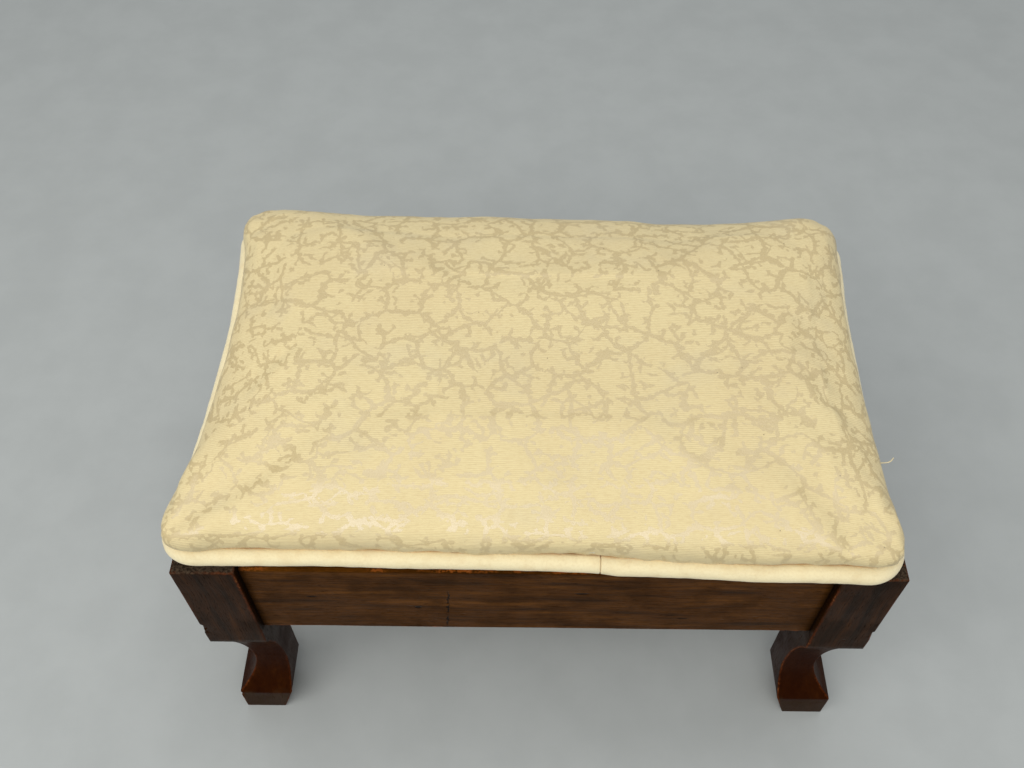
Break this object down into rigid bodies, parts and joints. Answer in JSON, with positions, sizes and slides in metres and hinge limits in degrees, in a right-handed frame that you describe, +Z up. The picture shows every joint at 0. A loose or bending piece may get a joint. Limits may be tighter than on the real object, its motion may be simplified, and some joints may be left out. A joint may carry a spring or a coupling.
{
  "type": "footstool",
  "caption": "Low upholstered footstool: scrolled square legs tenoned to rails, with a welted pad that lifts off, for resting the feet.",
  "frame": {"origin": "on the floor, under the middle of the pad's bounding box; the stand's own middle lies 2.5 mm to +X", "axes": "+X along the long side, to the right seen from the front; +Y from the front to the back; +Z up"},
  "size_m": [0.4438, 0.29, 0.265],
  "materials": {
    "stained_hardwood": "dark stained, worn at the edges",
    "plain_pine": "sawn, unfinished",
    "plywood": "sanded, unfinished",
    "damask": "woven, tone on tone",
    "welt_cloth": "plain woven",
    "cotton_cord": "soft",
    "wadding": "loose felted",
    "foam": "open cell",
    "dust_cloth": "black nonwoven",
    "screw_steel": "zinc plated",
    "staple_wire": "galvanised"
  },
  "bodies": {
    "stand": {"leg_front_left": "stained_hardwood", "leg_front_right": "stained_hardwood", "leg_back_right": "stained_hardwood", "leg_back_left": "stained_hardwood", "rail_front": "stained_hardwood", "rail_back": "stained_hardwood", "rail_left": "stained_hardwood", "rail_right": "stained_hardwood", "corner_block_front_left": "plain_pine", "corner_block_front_right": "plain_pine", "corner_block_back_right": "plain_pine", "corner_block_back_left": "plain_pine", "corner_block_screws": "screw_steel"},
    "pad": {"seat_board": "plywood", "foam_block": "foam", "wadding": "wadding", "damask_cover": "damask", "welt_cord": "cotton_cord", "welt_cover": "welt_cloth", "dust_cover": "dust_cloth", "batten_front": "plain_pine", "batten_back": "plain_pine", "batten_screws": "screw_steel", "welt_staples": "staple_wire", "dust_cover_staples": "staple_wire"}
  },
  "joints": [
    {"name": "pad_lift", "type": "slide", "parent": "stand", "child": "pad", "axis": [0, 0, 1], "range_m": [0, 0.09]}
  ]
}
